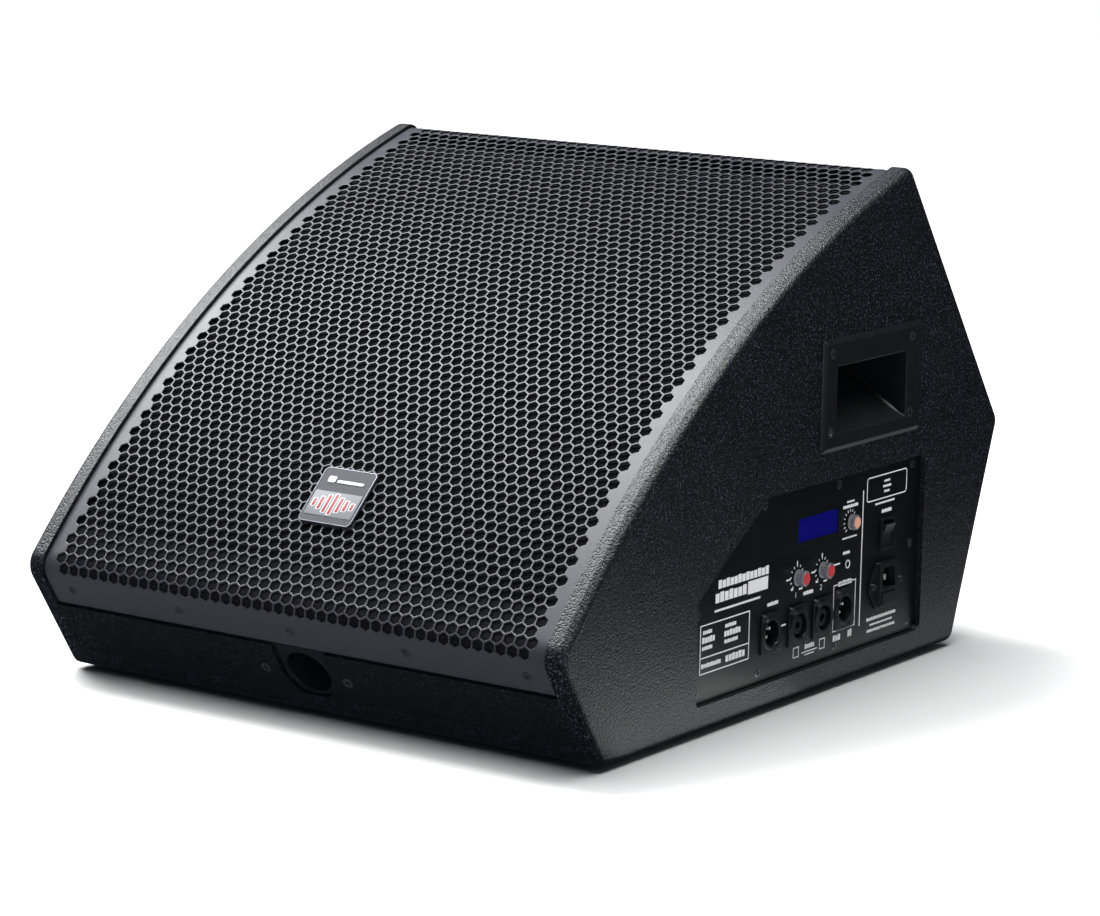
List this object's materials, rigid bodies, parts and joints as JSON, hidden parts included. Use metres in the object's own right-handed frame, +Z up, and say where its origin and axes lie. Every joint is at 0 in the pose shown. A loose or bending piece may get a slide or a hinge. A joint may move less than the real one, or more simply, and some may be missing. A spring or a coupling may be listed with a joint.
{
  "type": "stage monitor wedge",
  "caption": "Active stage monitor wedge with a curved perforated grille, a coaxial driver, side handles, a side amplifier panel and a pole socket.",
  "frame": {"origin": "on the floor under the feet, in the cabinet's middle plane and halfway along its depth", "axes": "+Z up, -Y towards the listener (lower front face and grille), +X towards the amplifier side"},
  "size_m": [0.4873, 0.5972, 0.3816],
  "materials": {
    "cabinet_paint": "textured black polyurea-type speaker paint over plywood, orange-peel grain",
    "inner_board": "plywood board stained black",
    "grille_paint": "satin dark blue-grey powder coat on perforated steel",
    "foam": "black open-cell acoustic foam",
    "badge_metal": "printed aluminium badge, plain stripes",
    "screw_black": "black zinc plated steel",
    "black_plastic": "moulded black ABS, fine texture",
    "socket_plastic": "glass-filled nylon, black",
    "rubber_black": "matte black rubber",
    "amp_panel": "black powder coated steel with white print",
    "bare_steel": "zinc plated steel sheet",
    "cast_frame": "cast aluminium driver frame, black",
    "ferrite": "sintered ferrite",
    "paper_cone": "treated paper pulp",
    "treated_cloth": "doped cloth",
    "copper_coil": "enamelled copper wire on its former",
    "heat_sink_alloy": "extruded aluminium",
    "circuit_board": "solder-masked glass-epoxy board with parts",
    "display_blue": "blue backlit display window",
    "knob_grey": "ribbed grey knob",
    "cap_red": "red knob cap",
    "cap_pink": "salmon knob cap",
    "shaft_steel": "nickel plated shaft",
    "contact_metal": "silver plated contacts",
    "fibre_pad": "polyester fibre wadding"
  },
  "bodies": {
    "cabinet": {"side_panel_left": "cabinet_paint", "side_panel_right": "cabinet_paint", "bottom_panel": "cabinet_paint", "front_lower_panel": "cabinet_paint", "rear_lower_panel": "cabinet_paint", "rear_upper_panel": "cabinet_paint", "baffle_board": "inner_board", "rubber_feet": "rubber_black", "foot_screws": "screw_black", "damping_pad": "fibre_pad", "grille_screen": "grille_paint", "grille_foam": "foam", "grille_screws": "screw_black", "badge_plate": "badge_metal", "pole_cup": "black_plastic", "pole_cup_screws": "screw_black", "driver_basket": "cast_frame", "driver_screws": "screw_black", "cone_surround": "treated_cloth", "coil_spider": "treated_cloth", "gap_plate": "bare_steel", "ferrite_magnet": "ferrite", "back_plate": "bare_steel", "coaxial_horn": "black_plastic", "compression_driver": "cast_frame", "amp_plate": "amp_panel", "amp_gasket": "rubber_black", "amp_chassis": "bare_steel", "amp_plate_screws": "screw_black", "connector_screws": "screw_black", "amplifier_board": "circuit_board", "power_supply_board": "circuit_board", "heat_sink": "heat_sink_alloy", "display_window": "display_blue", "control_board": "circuit_board", "xlr_thru_socket": "socket_plastic", "xlr_mix_socket": "socket_plastic", "xlr_pins": "contact_metal", "combo_socket_1": "socket_plastic", "combo_socket_2": "socket_plastic", "aux_jack": "socket_plastic", "mains_inlet": "socket_plastic", "inlet_pins": "contact_metal", "switch_frame": "socket_plastic", "handle_left": "black_plastic", "handle_right": "black_plastic", "handle_screws": "screw_black"},
    "cone": {"woofer_cone": "paper_cone", "voice_coil": "copper_coil"},
    "level_1": {"level_knob_1": "knob_grey", "level_cap_1": "cap_red", "level_shaft_1": "shaft_steel"},
    "level_2": {"level_knob_2": "knob_grey", "level_cap_2": "cap_red", "level_shaft_2": "shaft_steel"},
    "encoder_plunger": {"encoder_shaft": "shaft_steel"},
    "encoder_knob": {"encoder_knob": "knob_grey", "encoder_cap": "cap_pink"},
    "rocker": {"power_rocker": "socket_plastic"},
    "fuse_tray": {"fuse_drawer": "socket_plastic"}
  },
  "joints": [
    {"name": "cone_travel", "type": "slide", "parent": "cabinet", "child": "cone", "axis": [0, -0.5485, 0.8361], "range_m": [-0.005, 0.005], "stiffness_N_per_m": 6000, "deforming": ["cone_surround", "coil_spider"]},
    {"name": "level_1_turn", "type": "hinge", "parent": "cabinet", "child": "level_1", "pos_m": [0.2355, 0.00628, 0.093], "axis": [1, 0, 0], "range_deg": [-150, 150]},
    {"name": "level_2_turn", "type": "hinge", "parent": "cabinet", "child": "level_2", "pos_m": [0.2355, 0.04128, 0.093], "axis": [1, 0, 0], "range_deg": [-150, 150]},
    {"name": "encoder_push", "type": "slide", "parent": "cabinet", "child": "encoder_plunger", "axis": [1, 0, 0], "range_m": [-0.0006, 0], "stiffness_N_per_m": 2000, "springref_m": 0.0005},
    {"name": "encoder_turn", "type": "hinge", "parent": "encoder_plunger", "child": "encoder_knob", "pos_m": [0.2355, 0.08028, 0.123], "axis": [1, 0, 0], "continuous": true},
    {"name": "power_rock", "type": "hinge", "parent": "cabinet", "child": "rocker", "pos_m": [0.2315, 0.13528, 0.106], "axis": [0, 1, 0], "range_deg": [-18, 0]},
    {"name": "fuse_drawer_slide", "type": "slide", "parent": "cabinet", "child": "fuse_tray", "axis": [1, 0, 0], "range_m": [0, 0.018]}
  ]
}
